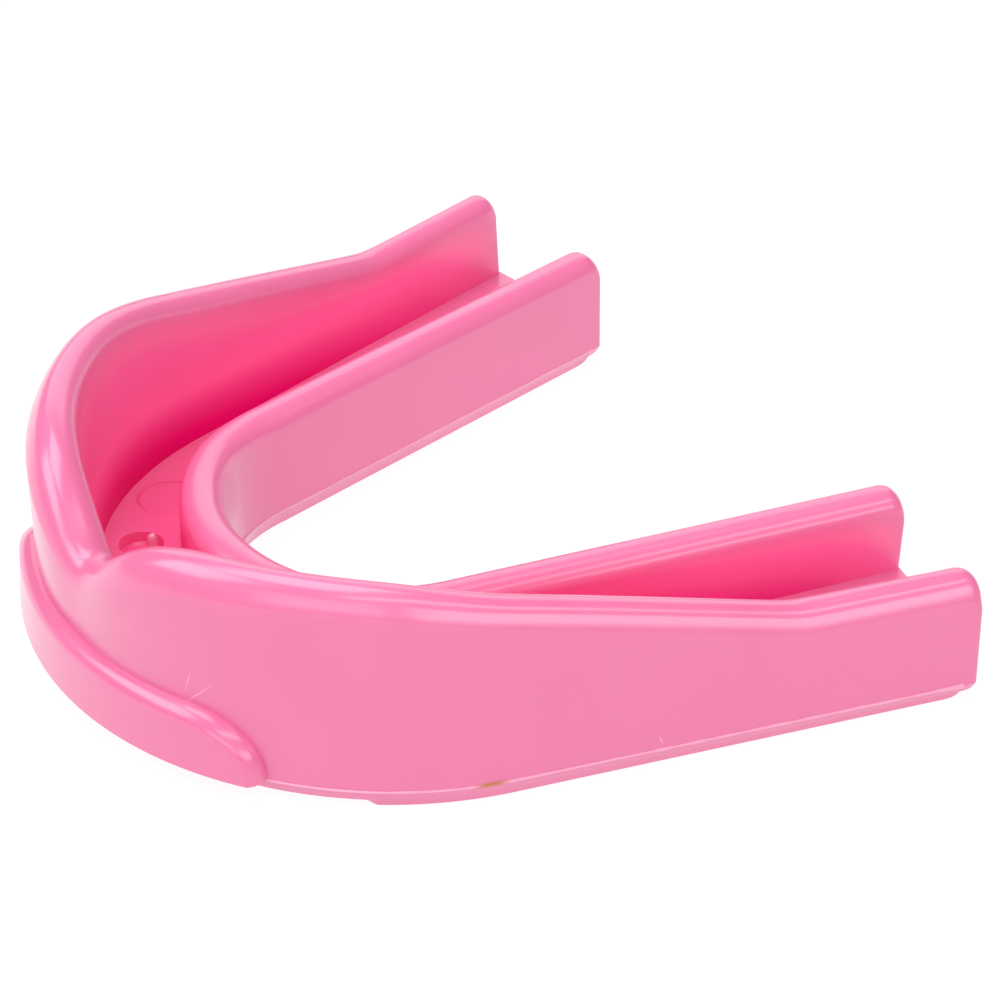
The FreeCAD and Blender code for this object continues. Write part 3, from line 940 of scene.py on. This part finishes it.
eva = soft_plastic("pink_eva", *EVA_TINTS)
pale_lit_eva = soft_plastic("pink_eva_painted_light", *PAINTED_LIGHT_EVA_TINTS)
full_half = stations(0.0, ARCH_LENGTH, HEEL_ROUND)
add(sweep("outer_wall_visual", outer_wall_outline, both_sides(full_half)), eva, "outer_wall")
add(sweep("inner_wall_visual", inner_wall_outline, both_sides(full_half)), eva, "inner_wall")
add(bite_tray(), eva, "bite_tray", lift=FLOOR_LIFT)
add(front_bumper(), eva, "front_bumper")
# The nub takes the paler painted-light plastic and the full lift, so it carries no painted shade
add(gate_nub(), pale_lit_eva, "gate_nub", lift=FULL_LIFT)
pad_half = list(np.linspace(PAD_FRONT, PAD_FRONT + PAD_STEP_LENGTH, PAD_STEP_RINGS + 1)[:-1])
pad_half += stations(PAD_FRONT + PAD_STEP_LENGTH, BASE_END, HEEL_BASE_ROUND)
flash_half = stations(BUMPER_HALF_LENGTH, BASE_END, FLASH_TIP_LENGTH)
for side, word in ((1, "left"), (-1, "right")):
    pad_at = [side * s for s in pad_half]
    add(sweep(f"pad_{word}_visual", pad_outline, pad_at), eva, f"bite_pad_{word}")
    flash_at = [side * s for s in flash_half]
    add(sweep(f"flash_{word}_visual", outer_flash_outline, flash_at), pale_lit_eva, f"parting_line_{word}")
inner_flash_at = both_sides(stations(0.0, BASE_END, FLASH_TIP_LENGTH))
add(sweep("flash_inner_visual", inner_flash_outline, inner_flash_at), pale_lit_eva, "parting_line_inner")


# ---------------------------------------------------------------- stage, light, camera


def stage_floor():
    size = STAGE_HALF_SIZE
    vertices = [(-size, -size, 0), (size, -size, 0), (size, size, 0), (-size, size, 0)]
    piece = new_piece("stage_floor", vertices, [(0, 1, 2, 3)])
    material = bpy.data.materials.new("floor_white")
    material.use_nodes = True
    shader = material.node_tree.nodes["Principled BSDF"]
    shader.inputs["Base Color"].default_value = (STAGE_GREY, STAGE_GREY, STAGE_GREY, 1)
    shader.inputs["Roughness"].default_value = STAGE_ROUGHNESS
    shader.inputs["Emission Color"].default_value = (1, 1, 1, 1)
    shader.inputs["Emission Strength"].default_value = STAGE_GLOW
    piece.data.materials.append(material)


def direction(azimuth, elevation):
    """Unit vector away from the object. Both angles are in radians, azimuth from -Y towards +X."""
    level = math.cos(elevation)
    return Vector((math.sin(azimuth) * level, -math.cos(azimuth) * level, math.sin(elevation)))


def softbox(name, azimuth, elevation, distance, width, height, power):
    """Area light aimed at the object, with its azimuth and elevation in degrees."""
    back = direction(math.radians(azimuth), math.radians(elevation))
    data = bpy.data.lights.new(name, "AREA")
    data.shape = "RECTANGLE"
    data.size = width
    data.size_y = height
    data.energy = power
    light = bpy.data.objects.new(name, data)
    light.location = back * distance
    light.rotation_euler = back.to_track_quat("Z", "Y").to_euler()
    bpy.context.scene.collection.objects.link(light)


def camera():
    back = direction(CAMERA_AZIMUTH, CAMERA_ELEVATION)
    right = Vector((math.cos(CAMERA_AZIMUTH), math.sin(CAMERA_AZIMUTH), 0))
    up = back.cross(right)
    rolled_right = right * math.cos(CAMERA_ROLL) + up * math.sin(CAMERA_ROLL)
    rolled_up = back.cross(rolled_right)
    data = bpy.data.cameras.new("camera")
    data.lens = CAMERA_LENS
    data.sensor_width = SENSOR_WIDTH
    data.clip_start = CLIP_START
    piece = bpy.data.objects.new("camera", data)
    rotation = Matrix((rolled_right, rolled_up, back)).transposed()
    aim = Vector((CAMERA_AIM[0], CAMERA_AIM[1] - ORIGIN_Y, CAMERA_AIM[2]))
    piece.matrix_world = Matrix.Translation((aim + back * CAMERA_DISTANCE) * MM) @ rotation.to_4x4()
    bpy.context.scene.collection.objects.link(piece)
    bpy.context.scene.camera = piece


stage_floor()
for softbox_name, values in SOFTBOXES.items():
    softbox(softbox_name, *values)
camera()
world = bpy.data.worlds.new("studio")
world.use_nodes = True
world.node_tree.nodes["Background"].inputs["Color"].default_value = (1, 1, 1, 1)
world.node_tree.nodes["Background"].inputs["Strength"].default_value = WORLD_STRENGTH
bpy.context.scene.world = world
bpy.context.scene.view_settings.view_transform = "Standard"
